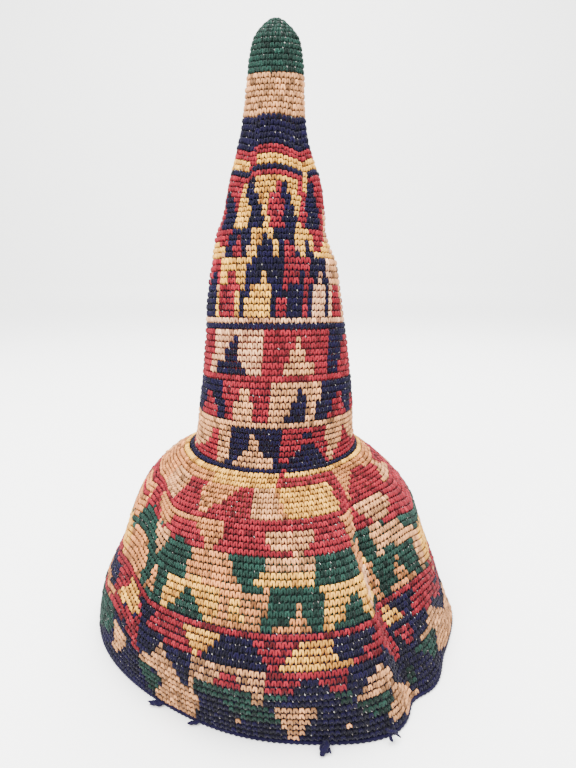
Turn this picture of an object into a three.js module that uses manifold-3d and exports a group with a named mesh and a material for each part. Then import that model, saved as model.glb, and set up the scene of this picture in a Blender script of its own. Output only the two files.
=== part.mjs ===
// A tall crocheted prestige hat: a hollow spire that widens into a flared skirt and stands on its rim.
// Millimetres, +Z up, the front faces -Y. The wall is one soft crocheted piece, open at the rim,
// and four short ends of its navy yarn lie loose beside the hem at the front.
import * as THREE from "three";
import { mergeVertices } from "three/addons/utils/BufferGeometryUtils.js";
import Module from "manifold-3d";

// Sizes in millimetres
const SPIRE_HEIGHT = 295; // from the tip down to the navy round at the neck
const SKIRT_HEIGHT = 135; // from the neck down to the rim
const NECK_RADIUS = 61.5; // half the width of the spire where it meets the skirt
const HEM_HALF_WIDTH = 143;
const HEM_FRONT = 143; // from the middle of the rim to its front
const HEM_BACK = 146; // from the middle of the rim to its back
const SETBACK = 22.6; // how far the neck sits behind the middle of the rim
const SWAY = 4.5; // how far the soft spire wanders sideways
const ROUND_LIFT = 4.5; // how far the front of a round is lifted halfway down the spire
const FOLD_DEPTH = 15; // depth of the deepest fold in the skirt
const WALL = 3; // thickness of the crocheted fabric
const HEM_EDGE_HEIGHT = 6; // height of the firm rolled edge
const HEM_EDGE_BULGE = 0.8; // how far that edge stands out on each side of the wall
const YARN = 2.8; // thickness of a yarn end
const END_GAP = 0.3; // clearance between a yarn end and the hem
const END_LIFT = 0.2; // clearance between a yarn end and the surface that the hat stands on

const NAVY = "#2b2452";
const RED = "#a83a3f";

// Sections of the spire, from the tip to the neck. Columns: share of SPIRE_HEIGHT down from the tip;
// half width, front and back as shares of NECK_RADIUS; sideways place as a share of SWAY; place towards
// the back as a share of SETBACK; lift of the front of the round as a share of ROUND_LIFT.
const SPIRE = [
  [0.0, 0.0, 0.0, 0.0, 0.22, 0.73, 0.0],
  [0.015, 0.124, 0.124, 0.124, 0.22, 0.73, -0.13],
  [0.051, 0.254, 0.254, 0.254, 0.22, 0.71, -0.36],
  [0.109, 0.306, 0.299, 0.309, 0.13, 0.69, -0.49],
  [0.175, 0.328, 0.317, 0.333, -0.04, 0.68, -0.27],
  [0.233, 0.358, 0.35, 0.366, -0.18, 0.67, -0.11],
  [0.291, 0.416, 0.407, 0.423, -0.22, 0.66, 0.11],
  [0.364, 0.524, 0.496, 0.52, -0.04, 0.65, 0.33],
  [0.437, 0.585, 0.569, 0.61, -0.22, 0.65, 0.51],
  [0.48, 0.631, 0.61, 0.65, -0.67, 0.65, 0.62],
  [0.56, 0.74, 0.667, 0.748, -0.22, 0.66, 0.76],
  [0.64, 0.797, 0.715, 0.821, -0.22, 0.68, 0.89],
  [0.728, 0.846, 0.756, 0.878, 0.04, 0.71, 1.0],
  [0.815, 0.894, 0.821, 0.919, 0.09, 0.76, 0.93],
  [0.902, 0.943, 0.927, 0.976, -0.04, 0.82, 0.53],
  [0.975, 0.976, 1.0, 0.976, -0.27, 0.91, 0.18],
  [1.0, 1.0, 1.106, 0.976, -0.33, 0.96, 0.07],
];

// Sections of the skirt, from below the neck to the rim. Columns: share of SKIRT_HEIGHT down from the neck;
// half width as a share of HEM_HALF_WIDTH; front of HEM_FRONT; back of HEM_BACK; then as in SPIRE.
const SKIRT = [
  [0.042, 0.493, 0.538, 0.452, -0.78, 1.0, 0.0],
  [0.09, 0.559, 0.629, 0.527, -1.0, 1.0, 0.0],
  [0.17, 0.643, 0.762, 0.63, -0.89, 0.96, 0.0],
  [0.233, 0.696, 0.811, 0.699, -0.67, 0.87, 0.0],
  [0.33, 0.752, 0.853, 0.781, -0.36, 0.78, 0.0],
  [0.52, 0.811, 0.916, 0.877, -0.36, 0.5, 0.0],
  [0.745, 0.906, 1.014, 0.966, -0.67, 0.2, 0.0],
  [1.0, 1.0, 1.0, 1.0, 0.0, 0.0, 0.0],
];

// Folds of the skirt. Azimuth 0 is the front and +90 is the right side. Each row: share of SKIRT_HEIGHT down
// from the neck, azimuth, depth towards the axis as a share of FOLD_DEPTH, and the fold's width in degrees
// on its left and on its right. A negative depth stands out.
const FOLDS = {
  right_tuck: [
    [0.01, 48, 0.0, 6, 15],
    [0.07, 45, 0.2, 6, 15],
    [0.15, 41, 0.53, 6, 15],
    [0.33, 36, 0.87, 5.5, 15],
    [0.52, 38.5, 0.87, 5, 14],
    [0.745, 40.5, 0.6, 5, 9],
    [1.0, 40, 0.33, 4, 6],
  ],
  front_panel_edge: [
    [0.04, 22, 0.0, 20, 9],
    [0.233, 24, -0.2, 20, 9],
    [0.52, 25, -0.33, 18, 9],
    [1.0, 28, -0.53, 14, 8],
  ],
  right_side_flat: [
    [0.62, 66, 0.0, 12, 22],
    [1.0, 64, 0.6, 12, 24],
  ],
  left_valley: [
    [0.01, -70, 0.0, 20, 16],
    [0.125, -68, 0.27, 20, 16],
    [0.2, -57, 0.33, 18, 16],
    [0.33, -49, 0.47, 18, 18],
    [0.52, -45, 0.4, 20, 22],
    [0.745, -42, 0.6, 30, 28],
    [1.0, -37, 1.0, 44, 38],
  ],
  right_back_crease: [
    [0.36, 104, 0.0, 7, 10],
    [0.55, 101, 0.27, 7, 10],
    [0.78, 98, 0.4, 7, 10],
    [1.0, 96, 0.2, 7, 10],
  ],
  back_right_valley: [
    [0.04, 150, 0.0, 14, 18],
    [0.3, 148, 0.27, 14, 18],
    [0.62, 145, 0.53, 14, 18],
    [1.0, 142, 0.6, 14, 18],
  ],
  back_left_valley: [
    [0.04, -140, 0.0, 18, 14],
    [0.36, -136, 0.33, 18, 14],
    [0.68, -132, 0.47, 18, 14],
    [1.0, -128, 0.53, 18, 14],
  ],
};

// Where the mesh has its rounds: shares of the spire's and of the skirt's height, then of the rolled edge's
const SPIRE_ROUNDS = [0.015, 0.05, 0.11, 0.18, 0.24, 0.31, 0.38, 0.44, 0.48, 0.56, 0.66, 0.76, 0.87, 0.96, 1.0];
const SKIRT_ROUNDS = [0.045, 0.1, 0.18, 0.28, 0.4, 0.53, 0.68, 0.83, 0.93];
const EDGE_ROUNDS = [[1.0, 0.0], [0.7, 0.8], [0.35, 1.0], [0.0, 0.3]];

// Azimuths of the mesh's columns: even steps, with finer ones across the right tuck
const COARSE_STEP = 7.5;
const FINE_STEP = 3.75;
const FINE_FROM = 22.5;
const FINE_TO = 60;

const HAT_HEIGHT = SPIRE_HEIGHT + SKIRT_HEIGHT;

// Every section with its lengths in millimetres, by distance down from the tip
const sections = [
  ...SPIRE.map(([share, half, front, back, side, behind, lift]) => ({
    drop: share * SPIRE_HEIGHT,
    half: half * NECK_RADIUS,
    front: front * NECK_RADIUS,
    back: back * NECK_RADIUS,
    side: side * SWAY,
    behind: behind * SETBACK,
    lift: lift * ROUND_LIFT,
  })),
  ...SKIRT.map(([share, half, front, back, side, behind, lift]) => ({
    drop: SPIRE_HEIGHT + share * SKIRT_HEIGHT,
    half: half * HEM_HALF_WIDTH,
    front: front * HEM_FRONT,
    back: back * HEM_BACK,
    side: side * SWAY,
    behind: behind * SETBACK,
    lift: lift * ROUND_LIFT,
  })),
];

// Slope at each section for a smooth curve that never overshoots: the weighted harmonic mean of the two
// neighbouring slopes, or zero where they differ in sign
function slopes(key) {
  const n = sections.length;
  const step = [];
  const rate = [];
  for (let i = 0; i < n - 1; i++) {
    step.push(sections[i + 1].drop - sections[i].drop);
    rate.push((sections[i + 1][key] - sections[i][key]) / step[i]);
  }
  return sections.map((_, i) => {
    if (i === 0) return rate[0];
    if (i === n - 1) return rate[n - 2];
    if (rate[i - 1] * rate[i] <= 0) return 0;
    const before = 2 * step[i] + step[i - 1];
    const after = step[i] + 2 * step[i - 1];
    return (before + after) / (before / rate[i - 1] + after / rate[i]);
  });
}

const KEYS = ["half", "front", "back", "side", "behind", "lift"];
const SLOPES = Object.fromEntries(KEYS.map((key) => [key, slopes(key)]));

// The section at a distance down from the tip
function sectionAt(drop) {
  let i = 0;
  while (i < sections.length - 2 && drop > sections[i + 1].drop) i++;
  const a = sections[i];
  const b = sections[i + 1];
  const h = b.drop - a.drop;
  const s = (drop - a.drop) / h;
  const found = {};
  for (const key of KEYS) {
    found[key] =
      (1 + 2 * s) * (1 - s) ** 2 * a[key] +
      s * (1 - s) ** 2 * h * SLOPES[key][i] +
      s * s * (3 - 2 * s) * b[key] +
      s * s * (s - 1) * h * SLOPES[key][i + 1];
  }
  return found;
}

// A row of a fold between its given rows
function foldRow(rows, share) {
  if (share <= rows[0][0]) return rows[0];
  const i = rows.findIndex((row) => row[0] >= share);
  if (i < 0) return rows[rows.length - 1];
  const s = (share - rows[i - 1][0]) / (rows[i][0] - rows[i - 1][0]);
  return rows[i].map((value, k) => THREE.MathUtils.lerp(rows[i - 1][k], value, s));
}

// How far the folds press the wall towards the axis, each with a bell-shaped profile
function foldDepth(drop, azimuth) {
  const share = (drop - SPIRE_HEIGHT) / SKIRT_HEIGHT;
  let depth = 0;
  for (const rows of Object.values(FOLDS)) {
    const [, centre, deep, left, right] = foldRow(rows, share);
    const away = THREE.MathUtils.euclideanModulo(azimuth - centre + 180, 360) - 180;
    depth += deep * FOLD_DEPTH * Math.exp(-((away / (away < 0 ? left : right)) ** 2));
  }
  return depth;
}

// A point of the outer face, at a distance down from the tip and an azimuth in degrees
function outerPoint(drop, azimuth) {
  const at = sectionAt(drop);
  const angle = THREE.MathUtils.degToRad(azimuth);
  const x = at.half * Math.sin(angle);
  const y = -(Math.cos(angle) > 0 ? at.front : at.back) * Math.cos(angle);
  const radius = Math.max(Math.hypot(x, y), 1e-6);
  const kept = 1 - foldDepth(drop, azimuth) / Math.max(radius, NECK_RADIUS / 5);
  return new THREE.Vector3(
    at.side + x * kept,
    at.behind + y * kept,
    HAT_HEIGHT - drop + at.lift * Math.cos(angle),
  );
}

// The direction that the outer face looks in
function outward(drop, azimuth) {
  const down = outerPoint(drop + 0.5, azimuth).sub(outerPoint(Math.max(drop - 0.5, 0), azimuth));
  const round = outerPoint(drop, azimuth + 0.5).sub(outerPoint(drop, azimuth - 0.5));
  return down.cross(round).normalize();
}

const azimuths = [];
for (let a = -180; a < 180 - 1e-6; a += a >= FINE_FROM && a < FINE_TO ? FINE_STEP : COARSE_STEP) {
  azimuths.push(a);
}

// The rounds of the mesh, each with its drop and the bulge of the rolled edge there
const rounds = [
  ...SPIRE_ROUNDS.map((share) => ({ drop: share * SPIRE_HEIGHT, bulge: 0 })),
  ...SKIRT_ROUNDS.map((share) => ({ drop: SPIRE_HEIGHT + share * (SKIRT_HEIGHT - HEM_EDGE_HEIGHT), bulge: 0 })),
  ...EDGE_ROUNDS.map(([share, bulge]) => ({
    drop: HAT_HEIGHT - share * HEM_EDGE_HEIGHT,
    bulge: bulge * HEM_EDGE_BULGE,
  })),
];

// The two faces of the wall at one corner of the mesh. At the rim both lie in the plane that the hat stands on.
function wallPair(drop, azimuth, bulge) {
  const at = outerPoint(drop, azimuth);
  const normal = outward(drop, azimuth);
  if (drop > HAT_HEIGHT - HEM_EDGE_HEIGHT - 1e-6) {
    const level = Math.hypot(normal.x, normal.y);
    normal.set(normal.x / level, normal.y / level, 0);
    return [at.clone().addScaledVector(normal, bulge), at.clone().addScaledVector(normal, -WALL / level - bulge)];
  }
  return [at, at.clone().addScaledVector(normal, -WALL)];
}

function shellGeometry() {
  const columns = azimuths.length;
  const outer = [new THREE.Vector3(...outerPoint(0, 0))];
  const inner = [outer[0].clone().setZ(outer[0].z - WALL * 1.1)];
  for (const { drop, bulge } of rounds) {
    for (const azimuth of azimuths) {
      const [face, back] = wallPair(drop, azimuth, bulge);
      outer.push(face);
      inner.push(back);
    }
  }
  const points = [...outer, ...inner];
  const shift = outer.length;
  const index = [];
  const corner = (round, column) => 1 + round * columns + (column % columns);
  for (let c = 0; c < columns; c++) {
    index.push(0, corner(0, c), corner(0, c + 1));
    index.push(shift, shift + corner(0, c + 1), shift + corner(0, c));
    for (let r = 0; r < rounds.length - 1; r++) {
      const a = corner(r, c);
      const b = corner(r, c + 1);
      const d = corner(r + 1, c);
      const e = corner(r + 1, c + 1);
      index.push(a, d, e, a, e, b);
      index.push(shift + a, shift + e, shift + d, shift + a, shift + b, shift + e);
    }
    const last = rounds.length - 1;
    const a = corner(last, c);
    const b = corner(last, c + 1);
    index.push(a, shift + a, shift + b, a, shift + b, b);
  }
  const geometry = new THREE.BufferGeometry();
  geometry.setAttribute("position", new THREE.Float32BufferAttribute(points.flatMap((p) => [p.x, p.y, p.z]), 3));
  geometry.setIndex(index);
  geometry.computeVertexNormals();
  return geometry;
}

// Joins closed shapes into one solid
const wasm = await Module();
wasm.setup();

function solidOf(geometry) {
  const bare = geometry.clone();
  bare.deleteAttribute("normal");
  bare.deleteAttribute("uv");
  const merged = mergeVertices(bare, 1e-4);
  return new wasm.Manifold(
    new wasm.Mesh({
      numProp: 3,
      vertProperties: merged.getAttribute("position").array,
      triVerts: new Uint32Array(merged.index.array),
    }),
  );
}

function joined(geometries) {
  let whole = solidOf(geometries[0]);
  for (const geometry of geometries.slice(1)) whole = whole.add(solidOf(geometry));
  const mesh = whole.getMesh();
  const result = new THREE.BufferGeometry();
  const corners = [];
  for (let i = 0; i < mesh.numVert; i++) {
    corners.push(...mesh.vertProperties.subarray(i * mesh.numProp, i * mesh.numProp + 3));
  }
  result.setAttribute("position", new THREE.Float32BufferAttribute(corners, 3));
  result.setIndex([...mesh.triVerts]);
  result.computeVertexNormals();
  return result;
}

// A short length of yarn along a smooth path
function yarn(points, thickness) {
  const section = new THREE.Shape().absarc(0, 0, thickness / 2, 0, Math.PI * 2, false);
  const path = new THREE.CatmullRomCurve3(points);
  return new THREE.ExtrudeGeometry(section, {
    steps: 3 * (points.length - 1),
    curveSegments: 4,
    bevelEnabled: false,
    extrudePath: path,
  });
}

// The place beside the rim at an azimuth: out is away from the hem, along is towards larger azimuths
function besideHem(azimuth) {
  const foot = outerPoint(HAT_HEIGHT, azimuth);
  const out = outward(HAT_HEIGHT, azimuth).setZ(0).normalize();
  const along = new THREE.Vector3(-out.y, out.x, 0);
  foot.addScaledVector(out, HEM_EDGE_BULGE + END_GAP);
  return (outwards, sideways, up) =>
    foot
      .clone()
      .addScaledVector(out, outwards * YARN)
      .addScaledVector(along, sideways * YARN)
      .setZ(END_LIFT + YARN / 2 + up * YARN);
}

const group = new THREE.Group();

function addPiece(name, geometry, color) {
  const mesh = new THREE.Mesh(geometry, new THREE.MeshStandardMaterial({ color, roughness: 0.9, metalness: 0 }));
  mesh.name = name;
  group.add(mesh);
}

addPiece("crochet_shell", shellGeometry(), RED);

// Each yarn end: its azimuth, and its path in yarn thicknesses out from the hem, along it and up
const YARN_ENDS = [
  { name: "hem_yarn_end_left", azimuth: -34, path: [[0.45, 0.7, 0.3], [0.8, -0.2, 0.3], [1.3, -1.6, 0.0]] },
  { name: "hem_yarn_end_mid_left", azimuth: -21, path: [[0.45, 0.5, 0.3], [0.7, -0.2, 0.25], [1.1, -1.2, 0.0]] },
  { name: "hem_yarn_knot", azimuth: 12, path: [[0.25, 0.3, 0.4], [0.9, 0.2, 0.5], [1.7, -0.4, 0.3], [2.6, -0.9, 0.0]] },
  { name: "hem_yarn_loop", azimuth: 27, path: [[-0.1, -0.5, 0.3], [0.9, -0.5, 0.8], [1.4, 0.5, 0.6], [1.2, 1.5, 0.1]] },
];

for (const { name, azimuth, path } of YARN_ENDS) {
  const place = besideHem(azimuth);
  const shapes = [yarn(path.map((p) => place(...p)), YARN)];
  if (name === "hem_yarn_knot") {
    const knot = new THREE.SphereGeometry(YARN * 0.85, 8, 6);
    const at = place(1.3, 0, 0.45);
    knot.translate(at.x, at.y, at.z);
    shapes.push(knot);
  }
  addPiece(name, joined(shapes), NAVY);
}

// The frame's origin: the middle of the bottom of the whole hat
const box = new THREE.Box3().setFromObject(group);
group.position.set(-(box.min.x + box.max.x) / 2, -(box.min.y + box.max.y) / 2, -box.min.z);

export default group;
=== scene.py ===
import math

import bpy
import numpy as np
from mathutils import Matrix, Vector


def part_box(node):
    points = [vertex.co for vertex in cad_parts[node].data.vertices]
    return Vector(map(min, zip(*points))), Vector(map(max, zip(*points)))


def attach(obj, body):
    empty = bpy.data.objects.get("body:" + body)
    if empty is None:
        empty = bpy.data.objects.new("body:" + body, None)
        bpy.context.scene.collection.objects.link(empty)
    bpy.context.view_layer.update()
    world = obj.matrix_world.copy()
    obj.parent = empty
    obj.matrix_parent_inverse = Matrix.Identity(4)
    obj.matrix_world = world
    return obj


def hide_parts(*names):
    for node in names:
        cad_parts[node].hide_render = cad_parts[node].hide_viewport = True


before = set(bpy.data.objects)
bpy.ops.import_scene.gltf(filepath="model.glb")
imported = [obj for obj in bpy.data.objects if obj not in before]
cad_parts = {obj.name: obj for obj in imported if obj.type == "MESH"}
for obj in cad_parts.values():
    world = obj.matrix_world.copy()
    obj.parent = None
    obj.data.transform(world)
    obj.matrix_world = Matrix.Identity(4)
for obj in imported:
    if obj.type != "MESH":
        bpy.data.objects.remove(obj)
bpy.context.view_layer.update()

# A tall crocheted prestige hat, in metres: a soft wall, and on it every stitch of its single crochet.
# Lengths along the fabric, called levels, are in millimetres down the front from the tip.
MM = 0.001

# Sizes of the hat, as the part's source gives them
SPIRE_HEIGHT = 0.295
SKIRT_HEIGHT = 0.135
HAT_HEIGHT = SPIRE_HEIGHT + SKIRT_HEIGHT
NECK_RADIUS = 0.0615
HEM_HALF_WIDTH = 0.143
HEM_FRONT = 0.143
HEM_BACK = 0.146
SETBACK = 0.0226
SWAY = 0.0045
ROUND_LIFT = 0.0045
FOLD_DEPTH = 0.015
WALL = 0.003
YARN = 0.0028

# Sections of the spire. Columns: share of SPIRE_HEIGHT down from the tip; half width, front and back as
# shares of NECK_RADIUS; sideways place, place towards the back and lift of the front of the round as
# shares of SWAY, SETBACK and ROUND_LIFT.
SPIRE = [
    (0.0, 0.0, 0.0, 0.0, 0.22, 0.73, 0.0),
    (0.015, 0.124, 0.124, 0.124, 0.22, 0.73, -0.13),
    (0.051, 0.254, 0.254, 0.254, 0.22, 0.71, -0.36),
    (0.109, 0.306, 0.299, 0.309, 0.13, 0.69, -0.49),
    (0.175, 0.328, 0.317, 0.333, -0.04, 0.68, -0.27),
    (0.233, 0.358, 0.35, 0.366, -0.18, 0.67, -0.11),
    (0.291, 0.416, 0.407, 0.423, -0.22, 0.66, 0.11),
    (0.364, 0.524, 0.496, 0.52, -0.04, 0.65, 0.33),
    (0.437, 0.585, 0.569, 0.61, -0.22, 0.65, 0.51),
    (0.48, 0.631, 0.61, 0.65, -0.67, 0.65, 0.62),
    (0.56, 0.74, 0.667, 0.748, -0.22, 0.66, 0.76),
    (0.64, 0.797, 0.715, 0.821, -0.22, 0.68, 0.89),
    (0.728, 0.846, 0.756, 0.878, 0.04, 0.71, 1.0),
    (0.815, 0.894, 0.821, 0.919, 0.09, 0.76, 0.93),
    (0.902, 0.943, 0.927, 0.976, -0.04, 0.82, 0.53),
    (0.975, 0.976, 1.0, 0.976, -0.27, 0.91, 0.18),
    (1.0, 1.0, 1.106, 0.976, -0.33, 0.96, 0.07),
]

# Sections of the skirt. Columns: share of SKIRT_HEIGHT down from the neck; half width, front and back as
# shares of HEM_HALF_WIDTH, HEM_FRONT and HEM_BACK; then as in SPIRE.
SKIRT = [
    (0.042, 0.493, 0.538, 0.452, -0.78, 1.0, 0.0),
    (0.09, 0.559, 0.629, 0.527, -1.0, 1.0, 0.0),
    (0.17, 0.643, 0.762, 0.63, -0.89, 0.96, 0.0),
    (0.233, 0.696, 0.811, 0.699, -0.67, 0.87, 0.0),
    (0.33, 0.752, 0.853, 0.781, -0.36, 0.78, 0.0),
    (0.52, 0.811, 0.916, 0.877, -0.36, 0.5, 0.0),
    (0.745, 0.906, 1.014, 0.966, -0.67, 0.2, 0.0),
    (1.0, 1.0, 1.0, 1.0, 0.0, 0.0, 0.0),
]

# Folds of the skirt. Azimuth 0 is the front and +90 the right side. Each row: share of SKIRT_HEIGHT down
# from the neck, azimuth, depth as a share of FOLD_DEPTH, width in degrees on its left and on its right.
FOLDS = {
    "right_tuck": [
        (0.01, 48, 0.0, 6, 15), (0.07, 45, 0.2, 6, 15), (0.15, 41, 0.53, 6, 15), (0.33, 36, 0.87, 5.5, 15),
        (0.52, 38.5, 0.87, 5, 14), (0.745, 40.5, 0.6, 5, 9), (1.0, 40, 0.33, 4, 6),
    ],
    "front_panel_edge": [
        (0.04, 22, 0.0, 20, 9), (0.233, 24, -0.2, 20, 9), (0.52, 25, -0.33, 18, 9), (1.0, 28, -0.53, 14, 8),
    ],
    "right_side_flat": [(0.62, 66, 0.0, 12, 22), (1.0, 64, 0.6, 12, 24)],
    "left_valley": [
        (0.01, -70, 0.0, 20, 16), (0.125, -68, 0.27, 20, 16), (0.2, -57, 0.33, 18, 16),
        (0.33, -49, 0.47, 18, 18), (0.52, -45, 0.4, 20, 22), (0.745, -42, 0.6, 30, 28),
        (1.0, -37, 1.0, 44, 38),
    ],
    "right_back_crease": [
        (0.36, 104, 0.0, 7, 10), (0.55, 101, 0.27, 7, 10), (0.78, 98, 0.4, 7, 10), (1.0, 96, 0.2, 7, 10),
    ],
    "back_right_valley": [
        (0.04, 150, 0.0, 14, 18), (0.3, 148, 0.27, 14, 18), (0.62, 145, 0.53, 14, 18),
        (1.0, 142, 0.6, 14, 18),
    ],
    "back_left_valley": [
        (0.04, -140, 0.0, 18, 14), (0.36, -136, 0.33, 18, 14), (0.68, -132, 0.47, 18, 14),
        (1.0, -128, 0.53, 18, 14),
    ],
}

# Camera, at the photograph's viewing angle: in front of the hat, a little above its middle, looking down.
# The lens is assumed.
CAMERA_PLACE = (0.0094, -0.4278, 0.2811)
CAMERA_DOWN = 13.0
CAMERA_LENS = 28.125


def add_camera():
    """A camera whose 36 mm side is the picture's height, turned CAMERA_DOWN degrees below level."""
    data = bpy.data.cameras.new("photo_camera")
    data.lens = CAMERA_LENS
    data.clip_start = 0.02
    camera = bpy.data.objects.new("photo_camera", data)
    camera.location = CAMERA_PLACE
    camera.rotation_euler = (math.radians(90 - CAMERA_DOWN), 0, 0)
    bpy.context.collection.objects.link(camera)
    bpy.context.scene.camera = camera


add_camera()

# The hat's surface

SECTIONS = np.array(
    [(r[0] * SPIRE_HEIGHT, r[1] * NECK_RADIUS, r[2] * NECK_RADIUS, r[3] * NECK_RADIUS,
      r[4] * SWAY, r[5] * SETBACK, r[6] * ROUND_LIFT) for r in SPIRE]
    + [(SPIRE_HEIGHT + r[0] * SKIRT_HEIGHT, r[1] * HEM_HALF_WIDTH, r[2] * HEM_FRONT, r[3] * HEM_BACK,
        r[4] * SWAY, r[5] * SETBACK, r[6] * ROUND_LIFT) for r in SKIRT]
)


def section_slopes():
    """Slope of each column at each section: the weighted harmonic mean of the slopes on both sides,
    zero where they differ in sign, and the first or last slope at the ends."""
    step = np.diff(SECTIONS[:, 0])[:, None]
    rate = np.diff(SECTIONS[:, 1:], axis=0) / step
    before = 2 * step[1:] + step[:-1]
    after = step[1:] + 2 * step[:-1]
    same = rate[:-1] * rate[1:] > 0
    safe = np.where(same, rate[:-1], 1), np.where(same, rate[1:], 1)
    inner = np.where(same, (before + after) / (before / safe[0] + after / safe[1]), 0)
    return np.vstack([rate[:1], inner, rate[-1:]])


SLOPES = section_slopes()


def section_at(drop):
    """Half width, front, back, side, behind and lift at distances down from the tip, each on a cubic
    through the sections with the slopes above."""
    i = np.clip(np.searchsorted(SECTIONS[:, 0], drop, side="right") - 1, 0, len(SECTIONS) - 2)
    h = SECTIONS[i + 1, 0] - SECTIONS[i, 0]
    s = ((drop - SECTIONS[i, 0]) / h)[..., None]
    h = h[..., None]
    found = (
        (1 + 2 * s) * (1 - s) ** 2 * SECTIONS[i, 1:]
        + s * (1 - s) ** 2 * h * SLOPES[i]
        + s * s * (3 - 2 * s) * SECTIONS[i + 1, 1:]
        + s * s * (s - 1) * h * SLOPES[i + 1]
    )
    return np.moveaxis(found, -1, 0)


def fold_depth(drop, azimuth):
    """Sum over the folds of depth times exp of minus (degrees from its middle over its width) squared."""
    share = (drop - SPIRE_HEIGHT) / SKIRT_HEIGHT
    depth = np.zeros_like(drop)
    for rows in FOLDS.values():
        table = np.array(rows, float)
        middle, deep, left, right = (np.interp(share, table[:, 0], table[:, k]) for k in (1, 2, 3, 4))
        away = (azimuth - middle + 180) % 360 - 180
        depth += deep * FOLD_DEPTH * np.exp(-((away / np.where(away < 0, left, right)) ** 2))
    return depth


def outer_point(drop, azimuth):
    """Points of the outer face: an ellipse of the section's widths round its middle, pressed in by the
    folds, at the height left below the tip plus the lift times the cosine of the azimuth."""
    drop, azimuth = np.broadcast_arrays(np.asarray(drop, float), np.asarray(azimuth, float))
    half, front, back, side, behind, lift = section_at(drop)
    sine, cosine = np.sin(np.radians(azimuth)), np.cos(np.radians(azimuth))
    x, y = half * sine, -np.where(cosine > 0, front, back) * cosine
    radius = np.maximum(np.hypot(x, y), 1e-9)
    kept = 1 - fold_depth(drop, azimuth) / np.maximum(radius, NECK_RADIUS / 5)
    return np.stack([side + x * kept, behind + y * kept, HAT_HEIGHT - drop + lift * cosine], axis=-1)


def unit(vectors):
    """The same directions with length one."""
    return vectors / np.maximum(np.linalg.norm(vectors, axis=-1, keepdims=True), 1e-12)


def lengths_along(points):
    """The length of a path from its start to each of its points."""
    return np.concatenate([[0], np.cumsum(np.linalg.norm(np.diff(points, axis=0), axis=1))])


def within(values, low, high):
    """Which values lie from low up to, but not at, high."""
    return (values >= low) & (values < high)


def outward(drop, azimuth):
    """The direction that the outer face looks in: down the meridian crossed with along the round."""
    down = outer_point(drop + 0.5 * MM, azimuth) - outer_point(np.maximum(drop - 0.5 * MM, 0), azimuth)
    along = outer_point(drop, azimuth + 0.5) - outer_point(drop, azimuth - 0.5)
    return unit(np.cross(down, along))


def place_in_frame():
    """How far the surface above moves to lie where the CAD shell lies: the middle of the CAD shell's box
    less the middle of the surface's own box, level; its foot stays on the floor."""
    drop, azimuth = np.meshgrid(np.linspace(0.2, HAT_HEIGHT, 300), np.arange(-180, 180, 1.0), indexing="ij")
    points = outer_point(drop, azimuth).reshape(-1, 3)
    low, high = (np.array(corner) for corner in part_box("crochet_shell"))
    shift = (low + high) / 2 - (points.min(0) + points.max(0)) / 2
    shift[2] = 0
    return shift


SHIFT = place_in_frame()

# Levels: millimetres along the front from the tip, and the drop that each one lies at
FRONT_DROPS = np.linspace(0, HAT_HEIGHT, 4001)
FRONT_LEVELS = lengths_along(outer_point(FRONT_DROPS, 0.0)) / MM
CHART_SIDE = 75


def front_twin(azimuth):
    """The azimuth on the front half whose motifs the chart repeats there: itself within CHART_SIDE degrees
    of the front, and beyond that the mirrored azimuth, drawn in so that nothing jumps at the sides."""
    azimuth = (azimuth + 180) % 360 - 180
    behind = (azimuth % 360) - 180
    return np.where(np.abs(azimuth) <= CHART_SIDE, azimuth, -behind * CHART_SIDE / (180 - CHART_SIDE))


# How the rounds dip and rise, in millimetres: a share that depends on the level, and a height that
# depends on the azimuth, for the shoulder of the spire and for the skirt
SHOULDER_SHARE = [(60, 0), (90, 1), (112, 1), (138, 0)]
SHOULDER_DIP = [(-75, 1), (-60, 2.5), (-50, 3.5), (-40, 5), (-31, 6), (-25, 1.2), (-20, 0.8), (0, 0),
                (10, 0.5), (20, 2), (30, 3.5), (38, 5), (45, 5), (50, 4), (60, 2), (75, 0.5)]
SKIRT_SHARE = [(312, 0), (345, 0.35), (380, 1), (440, 1), (460, 0.6), (483, 0)]
SKIRT_DIP = [(-75, 1), (-70, -2.2), (-65, -4), (-60, -3.8), (-55, -0.8), (-50, 2), (-45, 4.6), (-40, 4),
             (-30, 1.2), (-20, -0.6), (-10, -0.6), (0, 0), (28, 0), (36, 4), (40, 5), (45, 4), (50, 2),
             (55, 0.8), (60, 1), (65, 3.5), (70, 7), (75, 10)]


def round_dip(level, azimuth):
    """Millimetres that a round lies below its level at an azimuth."""
    twin = front_twin(azimuth)
    dip = np.zeros(np.broadcast(level, twin).shape)
    for share, height in ((SHOULDER_SHARE, SHOULDER_DIP), (SKIRT_SHARE, SKIRT_DIP)):
        s, h = np.array(share, float), np.array(height, float)
        dip = dip + np.interp(level, s[:, 0], s[:, 1]) * np.interp(twin, h[:, 0], h[:, 1])
    return dip


def drop_of(level, azimuth):
    """The distance below the tip of a level at an azimuth, its round's dip included."""
    return np.interp(level + round_dip(level, azimuth), FRONT_LEVELS, FRONT_DROPS)


def fabric_point(level, azimuth, out=0.0):
    """A point of the fabric in the hat's frame, out metres outside the CAD's outer face."""
    drop = drop_of(level, azimuth)
    point = outer_point(drop, azimuth) + SHIFT
    if np.any(out):
        point = point + np.asarray(out)[..., None] * outward(drop, azimuth)
    return point


# Yarns, in colours chosen to look right under this scene's lights

YARN_HEX = {
    "navy": "0a0425",
    "red": "801724",
    "green": "17322a",
    "sand": "c58a5b",
    "blush": "bd7844",
    "gold": "f7a140",
    "cream": "f6a276",
}
YARNS = list(YARN_HEX)
NAVY, RED, GREEN, SAND, BLUSH, GOLD, CREAM = range(7)


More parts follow.
